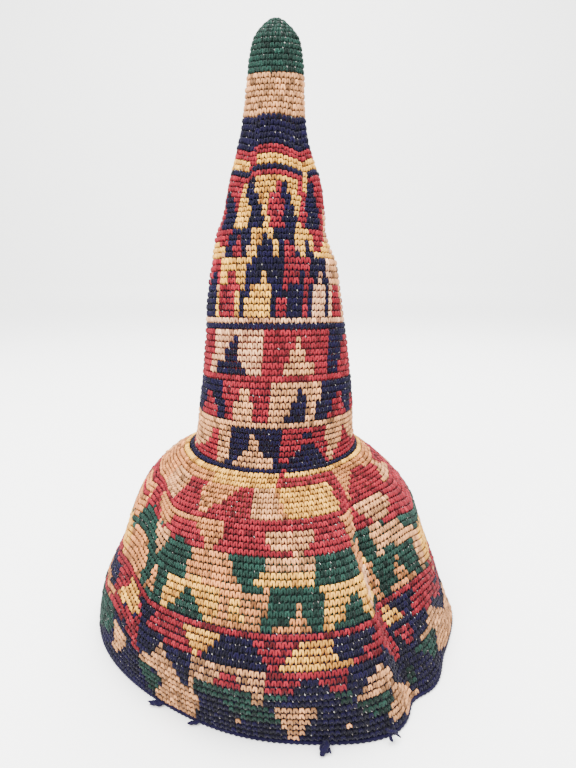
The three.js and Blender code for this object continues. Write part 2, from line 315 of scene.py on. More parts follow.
def linear(code):
    """An sRGB hex colour as linear red, green, blue and alpha."""
    srgb = np.array([int(code[i:i + 2], 16) for i in (0, 2, 4)]) / 255
    rgb = np.where(srgb <= 0.04045, srgb / 12.92, ((srgb + 0.055) / 1.055) ** 2.4)
    return (*[float(c) for c in rgb], 1.0)


# Plain rings of one yarn, which follow the rounds: yarn, top and bottom level
RINGS = [(GREEN, 0, 46), (SAND, 46, 71.5), (NAVY, 71.5, 91), (RED, 91, 97.3), (GOLD, 97.3, 104.3),
         (NAVY, 104.3, 108.1), (RED, 108.1, 112), (RED, 417.5, 421.5)]
# Breaks in the shoulder rings, where the work steps down: yarn, levels, left and right azimuth
RING_BREAKS = [(RED, 97.3, 104.3, -31, -24), (GOLD, 104.3, 112, 38, 45)]

# The chart of motifs. Each is a yarn and its sides at the middle of some rounds: how far down
# the front the round lies here, its dip included, in millimetres, and the left and right azimuth. Sides run
# straight in between, a motif reaches half a round above and below, and later ones lie over earlier ones.
HALF_ROUND = 2.0


def band(yarn, top, bottom):
    """A motif that runs all the way round between two levels."""
    return yarn, (top, -180, 180), (bottom, -180, 180)


CHART = [
    # Flames
    band(GOLD, 112, 145),
    (RED, (110, -80, -38), (118, -80, -38), (122, -80, -41), (134, -80, -42), (145, -80, -43)),
    (NAVY, (123, -70, -60), (126, -70, -55), (130, -69, -49), (134, -68, -46), (138, -67, -44),
           (144, -62, -43)),
    (NAVY, (112, -34, -28), (116, -34, -25), (120, -33, -21), (124, -32, -20), (128, -30, -16),
           (132, -28, -13), (136, -25, -12), (140, -23, -9), (145, -22, -9)),
    (RED, (118, 2, 9), (122, 0, 9), (126, -8, 10), (134, -8, 10), (138, -4, 11), (142, -2, 12),
          (146, 0, 13)),
    (NAVY, (119, 8, 15), (122, 9, 16), (126, 10, 18), (130, 10, 21), (134, 10, 23), (138, 11, 25),
           (146, 13, 27)),
    (RED, (114, 29, 37), (146, 30, 38)),
    (NAVY, (113, 43, 51), (117, 41, 51), (121, 38, 52), (125, 37, 54), (129, 37, 57), (133, 37, 60),
           (145, 40, 62)),
    (RED, (110, 51, 80), (121, 52, 80), (125, 54, 80), (129, 57, 80), (133, 60, 72), (147, 62, 72)),
    (SAND, (133, 72, 80), (147, 72, 80)),
    # Arches
    band(SAND, 149, 164.5),
    (RED, (149, -80, -42), (153, -75, -45), (157, -62, -47)),
    (GOLD, (157, -80, -60), (161, -80, -50), (164.5, -80, -51)),
    (NAVY, (149, -42, -20), (153, -44, -20), (157, -46, -21), (160.5, -49, -22), (164.5, -51, -22)),
    (RED, (153, -33, -27), (157, -35, -27), (160.5, -39, -27), (164.5, -40, -26)),
    (GOLD, (149, -19, 2), (153, -20, 4), (157, -20, 5), (164.5, -21, 5)),
    (NAVY, (153, -8, -2), (157, -9, 0), (160.5, -12, 0), (164.5, -15, 1)),
    (NAVY, (149, 3, 25), (153, 4, 22), (157, 6, 23), (164.5, 6, 25)),
    (RED, (157, 12, 19), (160.5, 11, 20), (164.5, 9, 22)),
    (GOLD, (149, 25, 42), (153, 22, 43), (157, 24, 44), (164.5, 25, 44)),
    (NAVY, (157, 31, 38), (160.5, 30, 39), (164.5, 28, 41)),
    (RED, (149, 43, 72), (153, 44, 64), (157, 44, 57), (161, 44, 51)),
    (GOLD, (157, 58, 80), (161, 51, 66), (164.5, 46, 72)),
    # Tall blocks with a post and an inner panel
    band(SAND, 168, 204),
    (RED, (168, -80, -51), (181.6, -80, -52)),
    (NAVY, (177, -68, -57), (186, -76, -57), (204, -78, -57)),
    (GOLD, (168, -51, -21), (177, -51, -23), (190, -54, -26), (204, -56, -29)),
    (RED, (177, -41, -35), (181.6, -42, -34)),
    (RED, (186, -49, -30), (204, -52, -33)),
    (NAVY, (168, -21, 9.5), (177, -23, 9), (186, -25, 8), (195, -27, 5), (204, -29, 3)),
    (GOLD, (177, -10.5, -4.5), (181.6, -10.5, -4.5)),
    (GOLD, (186, -20, 0), (204, -24, -2)),
    (RED, (168, 9.5, 34.5), (181.6, 9, 33), (186, 8, 31), (195, 4, 30), (204, 3, 28)),
    (NAVY, (177, 21, 27), (181.6, 20, 26)),
    (NAVY, (186, 13, 25), (190, 9, 24), (204, 8, 23)),
    (NAVY, (168, 34.5, 53), (181.6, 33, 52), (186, 32, 51), (204, 28, 48)),
    (CREAM, (177, 40, 46), (181.6, 39.5, 45.5)),
    (CREAM, (186, 35, 46), (204, 32, 43)),
    (CREAM, (170, 54, 60), (181.6, 52, 58), (190, 50.5, 54.5), (204, 48, 52)),
    (RED, (186, 56, 72), (204, 53, 72)),
    # Row of teeth and a dark line
    (CREAM, (208, -180, 180)),
    (SAND, (208, -22, -8)),
    (NAVY, (212, -180, 180)),
    # Blocks with stepped peaks
    band(RED, 216, 247.4),
    (CREAM, (216, -54, -8), (225, -55, -9), (234, -57, -10), (243, -57, -11)),
    (NAVY, (220.7, -35.4, -30.8), (225, -37.5, -31), (229.6, -41, -28.5), (234, -43.5, -28),
           (238.5, -48, -26), (243, -49, -21.5)),
    (SAND, (220.7, 17, 21.5), (225, 16.6, 21.2), (229.6, 12.5, 22), (234, 11.5, 21.5), (238.5, 6, 28),
           (243, 5.5, 27.5)),
    (NAVY, (216, 46, 80), (221, 45.5, 68), (225, 45, 63), (229.6, 44, 59), (238, 41.5, 56), (243, 40.5, 55)),
    # Second row of blocks with stepped peaks
    band(NAVY, 252, 275),
    (RED, (252, -42.5, -2.5), (256.6, -42, -3), (261, -40, -4), (266, -38.5, -5), (275, -37, -6)),
    (SAND, (256.6, -24.2, -20), (261.2, -24.6, -19), (265.8, -28.4, -17), (270.4, -29, -17),
           (275, -30, -14)),
    (SAND, (252, -2.5, 35), (256.6, -3, 34), (261, -4, 32.5), (266, -5, 31), (275, -6, 28)),
    (NAVY, (256.6, 16.6, 20.8), (261.2, 14, 21.5), (265.8, 11, 21.2), (270.4, 9.6, 21.6), (275, 6, 22)),
    (RED, (261.2, -59, -53), (265.8, -61, -49), (270.4, -65, -47), (275, -67, -46)),
    (RED, (261.2, 49, 57), (265.8, 45, 57.5), (270.4, 42, 58), (275, 38.5, 59.5)),
    (RED, (266, 72, 80), (275, 68, 80)),
    (SAND, (279.4, -180, 180)),
    # Third row of blocks, and the dark line at the neck
    band(SAND, 283.5, 307.3),
    (RED, (287.5, -47, -43), (291.4, -48, -43), (295.4, -51, -43), (299.4, -57, -43), (303.3, -64, -41),
          (307.3, -74, -39)),
    (NAVY, (283.5, -30, 5), (295.4, -30.5, 5), (307.3, -33, 6)),
    (SAND, (287.5, -15.5, -11.8), (291.4, -15.2, -11.2)),
    (SAND, (295.4, -16.5, -9.5), (299.4, -20.5, -6), (303.3, -23.5, -0.5), (307.3, -27.5, 1)),
    (RED, (283.5, 5, 37), (295.4, 5, 38), (307.3, 5, 38)),
    (NAVY, (287.5, 21, 25)),
    (NAVY, (295.4, 19, 28), (299.4, 16, 31), (303.3, 12, 33), (307.3, 8, 37)),
    (RED, (287.5, 56, 60), (291.4, 54.5, 61), (295.4, 52, 64), (299.4, 48.5, 69), (303.3, 45, 75),
          (307.3, 42, 80)),
    (NAVY, (311, -180, 180)),
    (RED, (311, 5, 9)),
    # First part of the skirt
    band(BLUSH, 314.6, 355),
    (GOLD, (314.6, -90, 90), (316, -90, 90)),
    (GOLD, (318, -33, 5), (323.2, -31, 5)),
    (SAND, (327.5, -62, -45), (348.9, -61, -46)),
    (SAND, (327.5, -15, 4), (332, -7, 4), (348.9, -7, 6)),
    (GOLD, (327.5, 4, 33), (348.9, 8, 33)),
    (RED, (327.5, -43.3, -33), (336, -44, -32), (344.6, -45, -31), (348.9, -46, -29.5)),
    (RED, (327.5, -14.5, -7.5), (331.8, -17, -7), (336, -17.5, -7), (340.3, -21, -7), (344.6, -24, -7.3),
          (348.9, -26.8, -7.5)),
    (RED, (314.6, 5, 7.6)),
    (RED, (318.9, 5, 38.5), (323.2, 5, 38.5)),
    (RED, (327.5, 32.5, 39), (340, 32, 39.3), (353, 32, 39.8)),
    (RED, (327.5, 52, 62), (331.8, 49, 72), (336, 47.5, 73), (340.3, 45.5, 72), (344.6, 44, 70),
          (348.9, 42, 67)),
    (SAND, (335, 74, 90), (357, 66, 90)),
    # Red rings and the row of hanging peaks
    (RED, (353, -180, 62), (357, -180, 180), (373, -180, 180)),
    (RED, (353, 100, 180)),
    (BLUSH, (360, -80, -66.5), (365, -80, -67)),
    (BLUSH, (372, -80, -67)),
    (BLUSH, (358, -59, -28), (361.5, -57, -42), (365, -55.5, -43), (369, -53, -43.5), (373, -51, -46)),
    (BLUSH, (358, -30, -16.5), (361.3, -28, -16.5), (364.8, -26.5, -16.8), (368.3, -25, -18),
            (372, -24, -20), (375, -24, -20)),
    (SAND, (361, -1, 18), (365, -1, 16.5), (369, 0, 14)),
    (SAND, (373, 7.2, 10.8)),
    (BLUSH, (359, 30, 39.5), (367, 29.5, 37.5), (375, 29.5, 36), (377, 28.5, 36)),
    (SAND, (359, 42.5, 60), (361.5, 41.5, 60.5), (365, 42.5, 59.5), (369, 43.8, 56)),
    (SAND, (373, 46.8, 49.5)),
    # Green blocks
    band(GREEN, 376.5, 424),
    (BLUSH, (374, -80, -66), (377, -80, -66.5), (384, -80, -69)),
    (GREEN, (372, -64, -59), (376, -66, -56)),
    (RED, (375, -56, -51), (376, -48, -38)),
    (SAND, (378, -53, -41.5), (382, -52, -42), (386, -50.5, -44), (390, -49.5, -45.5), (394, -48.6, -46.4)),
    (BLUSH, (377, -28.3, -14), (381.4, -28.6, -13), (385.6, -29, -11.5), (390, -29.5, -9.6),
            (394, -30.2, -9)),
    (SAND, (377, -1.5, 14.5), (381.4, -1.5, 14)),
    (GOLD, (385.6, -4, 13.5), (390, -6.3, 13)),
    (BLUSH, (379, 28.5, 36.5), (385, 29.5, 36), (396, 31, 37)),
    (SAND, (377, 43, 57), (381.5, 42.7, 58.5), (385.5, 43, 60), (389.5, 43.5, 66)),
    (SAND, (393, 44, 46), (393.5, 44, 46)),
    (RED, (374, 55, 80), (377, 66, 85), (381, 73, 90)),
    # Blocks with hanging and standing peaks
    (GREEN, (396, -56, -38), (400, -51, -38), (408, -53, -39), (416, -54, -40)),
    (GOLD, (392, -90, -70), (416, -90, -66)),
    (BLUSH, (391.5, -68, -57), (394, -68, -54), (398, -68, -52), (406, -68, -52), (416, -70, -53.5)),
    (BLUSH, (404, -46.8, -45), (408, -47.5, -44.5), (412, -49, -44), (416, -50, -43.5)),
    (GOLD, (400, -37.6, -28.5), (404, -38, -29), (412, -39, -31.5), (419, -39.6, -35)),
    (GOLD, (396, -28.5, -15.5), (404, -26.5, -16.3), (416, -21, -17)),
    (GREEN, (402, -28.3, -26.3), (406, -29.2, -25), (410, -30.5, -23.5), (414, -32.5, -21.5),
            (418, -36, -19)),
    (BLUSH, (396, -15.5, -0.4), (406, -16.5, -1.4), (416, -17, -2.5)),
    (GOLD, (404, -12, -9), (411, -12, -8)),
    (GREEN, (396, -0.3, 15.6), (416, -2.5, 15.6)),
    (BLUSH, (402.6, 8, 10), (406.9, 8, 10)),
    (BLUSH, (411, 5.3, 11)),
    (BLUSH, (415.4, 1.3, 12)),
    (GOLD, (396, 15.6, 38), (416, 15.6, 38.5)),
    (GREEN, (402.6, 24.3, 26.8), (406.9, 22.8, 28.2), (411, 22.2, 28.7), (415.4, 18.7, 30)),
    (CREAM, (397, 32, 37.5), (412, 33, 38)),
    (BLUSH, (400, 37.8, 40.7), (406, 38.4, 41.3), (412, 39, 42.3), (424, 39.6, 43.2)),
    (GREEN, (394, 48, 60.5), (398, 41, 61.5), (406, 42, 62.5), (416, 43.5, 63)),
    (BLUSH, (401, 50.2, 52), (405, 50.2, 52), (409, 49.5, 54), (413, 49.6, 55.3)),
    (BLUSH, (417, 46.5, 59)),
    (SAND, (394, 61.5, 69), (398, 62, 73), (418, 63, 69)),
    (GOLD, (396, 69, 74), (400, 69, 90), (424, 69, 90)),
    # Blocks under the red ring
    band(RED, 423.5, 435.6),
    (RED, (417, -90, -60), (421, -90, -56)),
    (NAVY, (426, -80, -68), (436, -80, -67)),
    (GOLD, (423, -58, -52.5), (426.5, -58.8, -50.5), (430, -60, -49), (434, -61.5, -47.6), (438, -63, -46)),
    (NAVY, (427, -49, -39.7), (431, -47.5, -41), (435, -46, -43)),
    (GOLD, (423.5, -27, -15), (427.6, -26, -16.8), (431.6, -23.5, -18.2), (435.6, -22.2, -20.2)),
    (NAVY, (423.5, -14.6, -4), (427.6, -16.4, -3.4), (431.6, -18, -2), (435.6, -20, -1)),
    (GOLD, (423.5, 8, 17.6), (427.6, 6, 16.5), (431.6, 4, 18.6), (435.6, 2.5, 22)),
    (NAVY, (423.5, 18.3, 31), (427.6, 16.7, 30.7), (431.6, 18.7, 26.5)),
    (GOLD, (426, 39.6, 42), (430, 39.7, 44.5), (434, 40, 47), (438, 40.3, 48.5), (440.5, 40.5, 46)),
    (NAVY, (423.5, 47, 54), (427, 43.6, 53), (431, 45.5, 51.5), (435, 47.8, 50.6)),
    (SAND, (426, 72, 90), (440, 76, 90)),
    # Navy foot with its peaks
    band(NAVY, 439.6, 484),
    (RED, (446, -80, -62), (450, -80, -68), (455, -80, -75)),
    (BLUSH, (441, -80, -64), (443.5, -80, -68)),
    (RED, (451, -80, -73), (454, -80, -75)),
    (RED, (440.5, -65, -45.3), (444, -63, -44.8), (448, -52, -44.2), (453, -47, -43.6)),
    (GREEN, (450, -72, -61), (454, -78, -59.6), (462, -80, -60.4), (466, -80, -62), (474, -80, -73)),
    (SAND, (443.7, -34.5, -32), (447.7, -36.2, -29), (451.8, -38, -26), (455.8, -42, -24.6),
           (459, -42.5, -24)),
    (SAND, (439.6, -22.2, -20.6), (457, -22.4, -20.8)),
    (SAND, (439.6, -20.6, -1), (447.7, -20.6, -1)),
    (RED, (443.7, -12.8, -8.6), (447.7, -15.5, -6)),
    (GREEN, (451.8, -20, -3.8), (455.8, -20.6, -3.2)),
    (SAND, (451.8, -3.8, -1.6), (455.8, -3.2, -1.6)),
    (GREEN, (459.9, -11, 1), (463.9, -9.5, 1.3), (468.5, -6, 2.5)),
    (RED, (439.6, -1, 21.2), (447.7, -0.6, 20.6)),
    (NAVY, (443.7, 9, 13), (447.7, 7, 15.2)),
    (GREEN, (451.8, -0.6, 5.5)),
    (GREEN, (451.8, 17, 20.6), (455.8, 18, 20.6)),
    (RED, (423.5, 31, 39.3), (431, 31, 39.7), (436, 33, 40), (442, 35, 40.6), (448, 37, 41.2),
          (455, 39, 41.8)),
    (SAND, (443.7, 28.2, 31), (447.7, 25.5, 32.5), (451.8, 23.3, 33.6), (457, 21.3, 34.4)),
    (RED, (443, 41.5, 48.5), (447, 44, 48.2), (451, 45, 47.2)),
    (RED, (439, 51, 68), (442, 64, 73), (446, 68, 78), (450, 73, 82)),
    (SAND, (445, 58, 61.5), (449, 54, 64.5), (453, 50.5, 66.8), (457, 58, 69), (461, 60.5, 71.5),
           (465, 60, 74), (469, 57, 76), (473, 58, 78), (477, 60.5, 80), (481, 65, 82)),
    (GREEN, (457, 46.8, 58), (461, 49, 60.5), (465, 51.5, 58), (469, 52.6, 56)),
    (GREEN, (465, 42.2, 44.6), (473, 41.6, 43.8)),
    # Foot row
    (SAND, (455, -59, -50.4), (459, -59, -50.6), (463, -58.6, -52.3), (467, -58.6, -54),
           (471.5, -59.8, -56)),
    (GREEN, (463.5, -42.6, -33), (467, -42.4, -33), (471, -41, -34), (475, -39, -35)),
    (SAND, (460.5, -33.5, -20), (464.5, -32.6, -19.4), (468, -33, -18.8), (472, -34, -19.5),
           (476, -35, -20), (480, -35.8, -20.6)),
    (SAND, (461.5, 1.2, 12), (464.5, 1.5, 11.6), (468, 2.5, 9.6), (472, 3, 8), (476, 3.3, 7.4),
           (480, 4, 6.6)),
    (SAND, (472, 17.6, 18.8)),
    (SAND, (472, -8.8, -7.2)),
    (GREEN, (461.5, 22, 31.6), (465.5, 22.8, 31.2), (468.5, 25.5, 30.2)),
    (SAND, (461, 31.8, 34.5), (465, 31.5, 36), (469, 30, 38.5), (473, 28.5, 40.5), (477, 29.5, 41),
           (480.5, 35, 41.5)),
    (SAND, (479, 41.5, 43.6)),
]


def yarn_at(level, azimuth):
    """The yarn that each stitch is worked in: that of its ring break or its ring, or else that of the last
    motif whose sides hold it."""
    twin = front_twin(azimuth)
    place = level + round_dip(level, azimuth)
    yarn = np.full(twin.shape, NAVY)
    for kind, *rows in CHART:
        table = np.array(rows, float)
        left, right = (np.interp(place, table[:, 0], table[:, k]) for k in (1, 2))
        around = within(place, table[0, 0] - HALF_ROUND, table[-1, 0] + HALF_ROUND)
        yarn = np.where(around & within(twin, left, right), kind, yarn)
    for kind, top, bottom in RINGS:
        yarn = np.where(within(level, top, bottom), kind, yarn)
    for kind, top, bottom, left, right in RING_BREAKS:
        yarn = np.where(within(level, top, bottom) & within(twin, left, right), kind, yarn)
    return yarn


# Rounds of single crochet. Columns: the level where a group starts, and the number of its rounds.
ROUND_GROUPS = [(1.5, 12), (46, 7), (71.5, 5), (91, 2), (97.3, 2), (104.3, 1), (108.1, 1), (112, 9),
                (147, 5), (166, 9), (206, 1), (210, 1), (214, 8), (249.7, 6), (277.3, 1), (281.5, 7),
                (309.3, 1), (312.5, 9), (351, 6), (375, 10), (417.5, 1), (421.5, 15), (481.5, 0)]
# Width of a stitch in millimetres at some levels, and how far each round drifts, in stitches
STITCH_WIDTH = [(0, 3.4), (50, 3.5), (120, 3.7), (300, 3.7), (318, 3.5), (350, 3.35), (485, 3.4)]
ROUND_DRIFT = -0.1


def round_levels():
    """The level of every edge between two rounds, even within each group."""
    groups = zip(ROUND_GROUPS[:-1], ROUND_GROUPS[1:])
    edges = [np.linspace(top, bottom, rounds, endpoint=False) for (top, rounds), (bottom, _) in groups]
    return np.append(np.concatenate(edges), ROUND_GROUPS[-1][0])


def stitch_places():
    """Level, round height, azimuth and width of every stitch. Stitches lie evenly along each round, whose
    length is measured from the front, and each round drifts by ROUND_DRIFT of a stitch from the last."""
    edges = round_levels()
    fine = np.arange(-180, 180.01, 1.0)
    places = []
    for number, (top, bottom) in enumerate(zip(edges[:-1], edges[1:])):
        level = (top + bottom) / 2
        points = fabric_point(np.full_like(fine, level), fine)
        length = lengths_along(points) / MM
        whole = length[-1]
        wanted = np.interp(level, *np.array(STITCH_WIDTH, float).T)
        count = max(int(round(whole / wanted)), 6)
        along = (np.arange(count) + (ROUND_DRIFT * number) % 1) / count * whole
        middle = length[len(fine) // 2]
        azimuth = np.interp((middle + along) % whole, length, fine)
        each = np.ones(count)
        places.append(np.stack([level * each, (bottom - top) * each, azimuth, whole / count * each]))
    return np.concatenate(places, axis=1)


# One stitch is an arch of yarn: up from the left foot, over the top and down to the right foot, whose tip
# reaches between two stitches of the next round. Rings of the arch: across as a share of the stitch's
# width, down as a share of the round's height, out and radius in millimetres.
ARCH = [(-0.31, 0.50, -0.70, 0.40), (-0.275, 0.10, 0.66, 0.84), (-0.19, -0.30, 0.62, 0.84),
        (0.17, -0.31, 0.60, 0.84), (0.28, 0.08, 0.70, 0.82), (0.43, 0.72, -0.35, 0.30)]
# A bead of yarn carried behind shows between two stitches: rings as above
FLECK = [(0.40, -0.62, 0.05, 0.08), (0.50, -0.45, 0.42, 0.26), (0.62, -0.26, 0.05, 0.08)]
LEG_SIDES = 5
# The arch's width and height as drawn, and where its middle sits off the CAD's face, in millimetres
NOMINAL_WIDTH = 3.6
NOMINAL_HEIGHT = 4.1
STITCH_SEAT = -1.0
# Painted shade in the gaps between stitches: the deeper parts of every stitch are painted darker, fully at
# GAP_DEPTH millimetres under GAP_TOP
GAP_SHADE = 0.62
GAP_TOP = 1.1
GAP_DEPTH = 1.7
# Painted shade for the light that falls off down the skirt: stitches are painted darker towards the foot,
# over FOOT_REACH millimetres from the level FOOT_TOP
FOOT_SHADE = 0.14
FOOT_TOP = 395
FOOT_REACH = 20
# Spread of the stitches: turn in radians, size and plumpness as shares, shift in widths, and shade
STITCH_SEED = 11
TURN_SPREAD = 0.10
SIZE_SPREAD = 0.05
PLUMP_SPREAD = 0.15
SHIFT_SPREAD = 0.03
SHADE_SPREAD = 0.16
# Least height of a stitch or a yarn end above the ground, in millimetres
GROUND_GAP = 0.1


def leg_rings(rows):
    """Rings of LEG_SIDES points round each ring's middle, square to the path through the middles. The
    result holds across, down and out, the first two as shares of a stitch."""
    table = np.array(rows, float)
    path = table[:, :3] * (NOMINAL_WIDTH, NOMINAL_HEIGHT, 1)
    tangent = unit(np.gradient(path, axis=0))
    side = unit(np.cross(tangent, (0, 0, 1.0)))
    up = np.cross(side, tangent)
    turn = np.arange(LEG_SIDES) * 2 * np.pi / LEG_SIDES
    ring = np.cos(turn)[:, None, None] * up + np.sin(turn)[:, None, None] * side
    points = path[:, None] + np.moveaxis(ring, 0, 1) * table[:, 3, None, None]
    return (points / (NOMINAL_WIDTH, NOMINAL_HEIGHT, 1)).reshape(-1, 3)


def tube_quads(rings, sides):
    """Four-sided faces between rings of points."""
    r, k = np.meshgrid(np.arange(rings - 1), np.arange(sides), indexing="ij")
    a = r * sides + k
    b = r * sides + (k + 1) % sides
    return np.stack([a, b, b + sides, a + sides], axis=-1).reshape(-1, 4)


def new_mesh(name, vertices, faces, material, shades=None, colours=None):
    """A smooth mesh object at the origin, from points and arrays of faces, one array for each number of
    corners. Its points may each have a shade and a carried colour; both can hold painted shade."""
    mesh = bpy.data.meshes.new(name)
    loops = np.concatenate([f.ravel() for f in faces]).astype(np.int32)
    sizes = np.concatenate([np.full(len(f), f.shape[1]) for f in faces])
    starts = np.concatenate([[0], np.cumsum(sizes)[:-1]]).astype(np.int32)
    mesh.vertices.add(len(vertices))
    mesh.vertices.foreach_set("co", np.asarray(vertices, np.float32).ravel())
    mesh.loops.add(len(loops))
    mesh.loops.foreach_set("vertex_index", loops)
    mesh.polygons.add(len(sizes))
    mesh.polygons.foreach_set("loop_start", starts)
    mesh.update(calc_edges=True)
    mesh.polygons.foreach_set("use_smooth", np.full(len(sizes), True))
    if shades is not None:
        layer = mesh.attributes.new("shade", "FLOAT", "POINT")
        layer.data.foreach_set("value", np.asarray(shades, np.float32))
    if colours is not None:
        layer = mesh.attributes.new("carried", "FLOAT_COLOR", "POINT")
        layer.data.foreach_set("color", np.asarray(colours, np.float32).ravel())
    mesh.materials.append(material)
    piece = bpy.data.objects.new(name, mesh)
    bpy.context.collection.objects.link(piece)
    return piece


# Materials

BATCH_SHARE = 0.4
BATCH_BASE = 0.3
NOISE_SHARE = 0.42
RAMP_TOP = 0.9


def add_node(tree, kind, links=None, **settings):
    """Adds a node, with its properties and inputs by name, _ for a space, and the links to its inputs."""
    node = tree.nodes.new(kind)
    for name, value in settings.items():
        if hasattr(node, name):
            setattr(node, name, value)
        else:
            node.inputs[name.replace("_", " ")].default_value = value
    for name, source in (links or {}).items():
        tree.links.new(source, node.inputs[name])
    return node


def crochet_yarn(name, code, lift=1.5, sink=0.22, carried=False):
    """Matte cotton yarn. Its colour runs from sink to lift times its base with the shade attribute, which
    holds tone at random and, on the stitches, painted shade, plus NOISE_SHARE of the noise of fibres 0.4 mm
    apart and of batches some centimetres wide. With carried, the colour is multiplied by the carried
    attribute, partly a carried yarn's colour and partly painted shade in the gaps. The fibres give it a
    bump."""
    material = bpy.data.materials.new(name)
    material.use_nodes = True
    tree = material.node_tree
    tree.nodes.clear()
    place = add_node(tree, "ShaderNodeTexCoord").outputs["Object"]
    shade = add_node(tree, "ShaderNodeAttribute", attribute_name="shade").outputs["Fac"]
    inputs = {"Vector": place}
    fibres = add_node(tree, "ShaderNodeTexNoise", inputs, Scale=2500.0, Detail=2.0, Roughness=0.6)
    batches = add_node(tree, "ShaderNodeTexNoise", inputs, Scale=28.0, Detail=2.0, Roughness=0.5)
    soft = add_node(tree, "ShaderNodeMath", {0: batches.outputs["Fac"]}, operation="MULTIPLY_ADD")
    soft.inputs[1].default_value = BATCH_SHARE
    soft.inputs[2].default_value = BATCH_BASE
    mixed = add_node(tree, "ShaderNodeMath", {0: fibres.outputs["Fac"], 1: soft.outputs[0]}, operation="ADD")
    level = add_node(tree, "ShaderNodeMath", {0: mixed.outputs[0], 2: shade}, operation="MULTIPLY_ADD")
    level.inputs[1].default_value = NOISE_SHARE
    base = np.array(linear(code)[:3])
    ramp = add_node(tree, "ShaderNodeValToRGB", {"Fac": level.outputs[0]})
    ramp.color_ramp.elements[0].position = 0.0
    ramp.color_ramp.elements[0].color = (*(base * sink), 1)
    ramp.color_ramp.elements[1].position = RAMP_TOP
    ramp.color_ramp.elements[1].color = (*np.minimum(base * lift, 1), 1)
    colour = ramp.outputs["Color"]
    if carried:
        # The carried colour multiplies the yarn's: partly a carried yarn's colour, partly painted shade in
        # the gaps
        tint = add_node(tree, "ShaderNodeAttribute", attribute_name="carried").outputs["Color"]
        colour = add_node(tree, "ShaderNodeMix", data_type="RGBA", blend_type="MULTIPLY")
        colour.inputs["Factor"].default_value = 1.0
        tree.links.new(ramp.outputs["Color"], colour.inputs[6])
        tree.links.new(tint, colour.inputs[7])
        colour = colour.outputs[2]
    bump = add_node(tree, "ShaderNodeBump", {"Height": fibres.outputs["Fac"]}, Strength=0.5, Distance=0.0002)
    inputs = {"Base Color": colour, "Normal": bump.outputs["Normal"]}
    shader = add_node(tree, "ShaderNodeBsdfPrincipled", inputs, Roughness=0.88, Specular_IOR_Level=0.15,
                      Sheen_Weight=0.05, Sheen_Roughness=0.45)
    add_node(tree, "ShaderNodeOutputMaterial", {"Surface": shader.outputs[0]})
    return material


YARN_MATERIALS = [crochet_yarn(f"{name}_cotton_yarn", code) for name, code in YARN_HEX.items()]
BEAD_MATERIAL = crochet_yarn("pale_carried_cotton_yarn", "e6d3cc")
# The fabric wall's material: white times the carried colour, which is partly painted shade in the gaps
BACK_MATERIAL = crochet_yarn("carried_cotton_yarn", "ffffff", 1.0, 0.8, carried=True)


def dress(piece, nodes):
    """Rides a piece on the only body and hides the CAD parts that it stands for."""
    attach(piece, "root")
    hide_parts(*nodes)


# Stitches


def stitch_frames(level, height, azimuth):
    """Middle, down and out of every stitch: the middle sits STITCH_SEAT millimetres off the CAD's face,
    down reaches over one round, and out is square to the fabric."""
    middle = fabric_point(level, azimuth)
    top = fabric_point(level - height / 2, azimuth)
    foot = fabric_point(level + height / 2, azimuth)
    right = fabric_point(level, azimuth + 0.5) - fabric_point(level, azimuth - 0.5)
    down = foot - top
    out = unit(np.cross(down, right))
    return middle + out * STITCH_SEAT * MM, down, out


def stitch_mesh(name, rows, rings, material, rng, loose=1.0):
    """Joins the copies of one shape, a stitch or a bead, for many places. A point of a copy is its middle,
    plus across times the width to the right, down times the round's height and out, with each copy turned,
    sized and shaded a little by chance. The shade also falls by GAP_SHADE, painted shade in the gaps, and
    by FOOT_SHADE, painted shade towards the foot. Returns the number of triangles."""
    level, height, azimuth, width = rows
    middle, down, out = stitch_frames(level, height, azimuth)
    right = unit(np.cross(out, down))
    shape = leg_rings(rings)
    count = len(level)
    turn = rng.normal(0, TURN_SPREAD, count)[:, None] * loose
    size = rng.normal(1, SIZE_SPREAD, count)[:, None]
    plump = rng.normal(1, PLUMP_SPREAD, count)[:, None]
    shift = rng.normal(0, SHIFT_SPREAD, count)[:, None] * loose
    across = (shape[:, 0] * np.cos(turn) - shape[:, 1] * np.sin(turn)) * size + shift
    along = (shape[:, 1] * np.cos(turn) + shape[:, 0] * np.sin(turn)) * size
    proud = shape[:, 2] * plump
    points = (
        middle[:, None]
        + across[..., None] * right[:, None] * (width * MM)[:, None, None]
        + along[..., None] * down[:, None]
        + proud[..., None] * out[:, None] * MM
    )
    points[..., 2] = np.maximum(points[..., 2], GROUND_GAP * MM)
    ring = len(rings) * LEG_SIDES
    start = (np.arange(count) * ring)[:, None, None]
    caps = np.stack([np.arange(LEG_SIDES)[::-1], np.arange(LEG_SIDES) + ring - LEG_SIDES])
    quads = tube_quads(len(rings), LEG_SIDES) + start
    faces = [quads.reshape(-1, 4), (caps + start).reshape(-1, LEG_SIDES)]
    # Painted shade: the deeper parts of each stitch, down in the gaps, are painted darker
    gap = GAP_SHADE * np.clip((GAP_TOP - shape[:, 2]) / GAP_DEPTH, 0, 1)
    # Painted shade: the stitches are painted darker towards the foot
    foot = FOOT_SHADE * np.clip((level - FOOT_TOP) / FOOT_REACH, 0, 1)
    shade = (rng.normal(0.0, SHADE_SPREAD, count)[:, None] - foot[:, None] - gap).ravel()
    piece = new_mesh(name, points.reshape(-1, 3), faces, material, shades=shade)
    dress(piece, ["crochet_shell"])
    return len(piece.data.loops) - 2 * len(piece.data.polygons)


# Zones that the pieces of stitches are split by: top and bottom level
ZONES = [("spire", 0, 309), ("upper_skirt", 309, 417.5), ("foot", 417.5, 490)]

